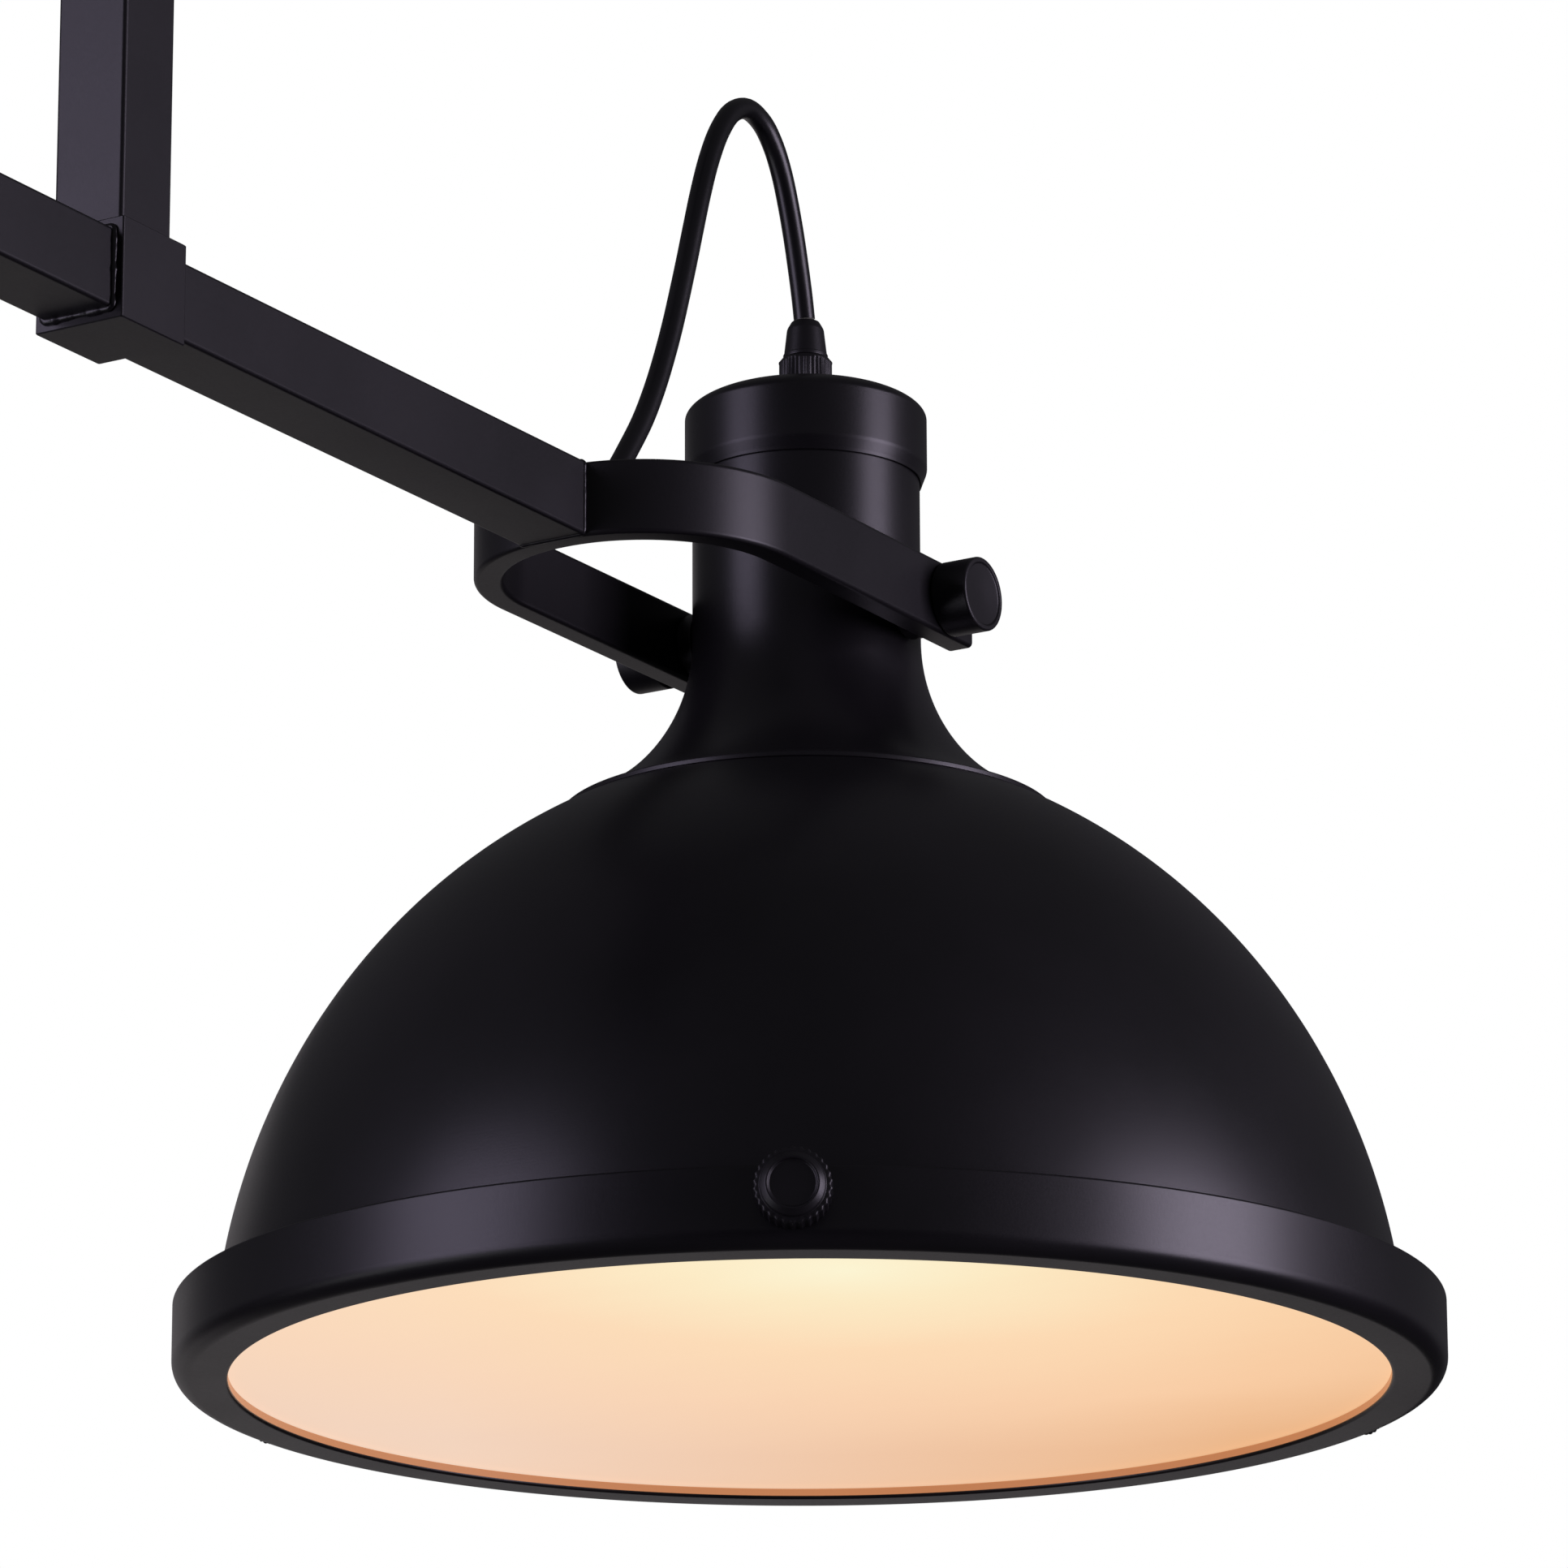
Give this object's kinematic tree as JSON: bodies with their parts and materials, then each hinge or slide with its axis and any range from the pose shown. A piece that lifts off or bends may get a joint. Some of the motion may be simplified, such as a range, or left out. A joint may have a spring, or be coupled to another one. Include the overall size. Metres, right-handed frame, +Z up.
{
  "type": "pool table lamp",
  "caption": "Two-light pool table lamp: square-tube upright and crossbar, tilting dome heads in yokes, each with a neck cap, a cord loop and a frosted glass in a clamped ring.",
  "frame": {"origin": "centre of the ceiling plate's top face, where the lamp hangs from the ceiling", "axes": "+Z up to the ceiling; +X along the crossbar; +Y across it; the heads hang down in -Z"},
  "size_m": [0.9928, 0.364, 0.8144],
  "materials": {
    "black_steel": "satin black powder coat on steel tube and strip",
    "black_aluminium": "satin black paint on spun aluminium",
    "black_hardware": "satin black, turned steel",
    "steel": "zinc-plated steel, slightly dull",
    "rubber": "matt black moulded rubber",
    "cord_jacket": "smooth black flexible cable jacket",
    "lampholder_plastic": "black phenolic lampholder",
    "opal_bulb": "opal glass bulb",
    "frosted_glass": "frosted glass lit warm from inside"
  },
  "bodies": {
    "frame": {"ceiling_plate": "steel", "canopy": "black_steel", "canopy_collar": "black_steel", "collar_set_screw": "steel", "upright": "black_steel", "crossbar_sleeve": "black_steel", "right_bar": "black_steel", "right_yoke": "black_steel", "right_grommet": "rubber", "right_bar_lead": "cord_jacket", "right_cord": "cord_jacket", "left_bar": "black_steel", "left_yoke": "black_steel", "left_grommet": "rubber", "left_bar_lead": "cord_jacket", "left_cord": "cord_jacket"},
    "right_head": {"right_neck_cap": "black_aluminium", "right_neck_bell": "black_aluminium", "right_gland_base": "black_hardware", "right_gland_nut": "black_hardware", "right_bridge": "steel", "right_nipple": "steel", "right_head_lead": "cord_jacket", "right_lampholder": "lampholder_plastic", "right_shade_nut": "steel", "right_shade": "black_aluminium", "right_front_spacer": "black_hardware", "right_back_spacer": "black_hardware"},
    "right_bulb": {"right_bulb_cap": "steel", "right_bulb_globe": "opal_bulb"},
    "right_ring": {"right_trim_ring": "black_aluminium", "right_diffuser": "frosted_glass", "right_gasket": "rubber"},
    "right_front_knob_body": {"right_front_knob": "black_hardware"},
    "right_back_knob_body": {"right_back_knob": "black_hardware"},
    "right_thumb_1_body": {"right_thumb_screw_1": "black_hardware"},
    "right_thumb_2_body": {"right_thumb_screw_2": "black_hardware"},
    "right_thumb_3_body": {"right_thumb_screw_3": "black_hardware"},
    "left_head": {"left_neck_cap": "black_aluminium", "left_neck_bell": "black_aluminium", "left_gland_base": "black_hardware", "left_gland_nut": "black_hardware", "left_bridge": "steel", "left_nipple": "steel", "left_head_lead": "cord_jacket", "left_lampholder": "lampholder_plastic", "left_shade_nut": "steel", "left_shade": "black_aluminium", "left_front_spacer": "black_hardware", "left_back_spacer": "black_hardware"},
    "left_bulb": {"left_bulb_cap": "steel", "left_bulb_globe": "opal_bulb"},
    "left_ring": {"left_trim_ring": "black_aluminium", "left_diffuser": "frosted_glass", "left_gasket": "rubber"},
    "left_front_knob_body": {"left_front_knob": "black_hardware"},
    "left_back_knob_body": {"left_back_knob": "black_hardware"},
    "left_thumb_1_body": {"left_thumb_screw_1": "black_hardware"},
    "left_thumb_2_body": {"left_thumb_screw_2": "black_hardware"},
    "left_thumb_3_body": {"left_thumb_screw_3": "black_hardware"}
  },
  "joints": [
    {"name": "right_head_tilt", "type": "hinge", "parent": "frame", "child": "right_head", "pos_m": [0.325, 0, -0.6], "axis": [0, 1, 0], "range_deg": [-40, 30], "deforming": ["right_cord"]},
    {"name": "right_ring_drop", "type": "slide", "parent": "right_head", "child": "right_ring", "axis": [0, 0, -1], "range_m": [0, 0.06]},
    {"name": "right_bulb_turn", "type": "hinge", "parent": "right_head", "child": "right_bulb", "pos_m": [0.325, 0, -0.68], "axis": [0, 0, -1], "continuous": true},
    {"name": "right_front_knob_turn", "type": "hinge", "parent": "right_head", "child": "right_front_knob_body", "pos_m": [0.325, -0.05, -0.6], "axis": [0, -1, 0], "continuous": true},
    {"name": "right_back_knob_turn", "type": "hinge", "parent": "right_head", "child": "right_back_knob_body", "pos_m": [0.325, 0.05, -0.6], "axis": [0, 1, 0], "continuous": true},
    {"name": "right_thumb_1_turn", "type": "hinge", "parent": "right_ring", "child": "right_thumb_1_body", "pos_m": [0.17345, -0.0875, -0.8005], "axis": [-0.866, -0.5, 0], "continuous": true},
    {"name": "right_thumb_2_turn", "type": "hinge", "parent": "right_ring", "child": "right_thumb_2_body", "pos_m": [0.47655, -0.0875, -0.8005], "axis": [0.866, -0.5, 0], "continuous": true},
    {"name": "right_thumb_3_turn", "type": "hinge", "parent": "right_ring", "child": "right_thumb_3_body", "pos_m": [0.325, 0.175, -0.8005], "axis": [0, 1, 0], "continuous": true},
    {"name": "left_head_tilt", "type": "hinge", "parent": "frame", "child": "left_head", "pos_m": [-0.325, 0, -0.6], "axis": [0, -1, 0], "range_deg": [-40, 30], "deforming": ["left_cord"]},
    {"name": "left_ring_drop", "type": "slide", "parent": "left_head", "child": "left_ring", "axis": [0, 0, -1], "range_m": [0, 0.06]},
    {"name": "left_bulb_turn", "type": "hinge", "parent": "left_head", "child": "left_bulb", "pos_m": [-0.325, 0, -0.68], "axis": [0, 0, -1], "continuous": true},
    {"name": "left_front_knob_turn", "type": "hinge", "parent": "left_head", "child": "left_front_knob_body", "pos_m": [-0.325, -0.05, -0.6], "axis": [0, -1, 0], "continuous": true},
    {"name": "left_back_knob_turn", "type": "hinge", "parent": "left_head", "child": "left_back_knob_body", "pos_m": [-0.325, 0.05, -0.6], "axis": [0, 1, 0], "continuous": true},
    {"name": "left_thumb_1_turn", "type": "hinge", "parent": "left_ring", "child": "left_thumb_1_body", "pos_m": [-0.17345, 0.0875, -0.8005], "axis": [0.866, 0.5, 0], "continuous": true},
    {"name": "left_thumb_2_turn", "type": "hinge", "parent": "left_ring", "child": "left_thumb_2_body", "pos_m": [-0.47655, 0.0875, -0.8005], "axis": [-0.866, 0.5, 0], "continuous": true},
    {"name": "left_thumb_3_turn", "type": "hinge", "parent": "left_ring", "child": "left_thumb_3_body", "pos_m": [-0.325, -0.175, -0.8005], "axis": [0, -1, 0], "continuous": true}
  ]
}
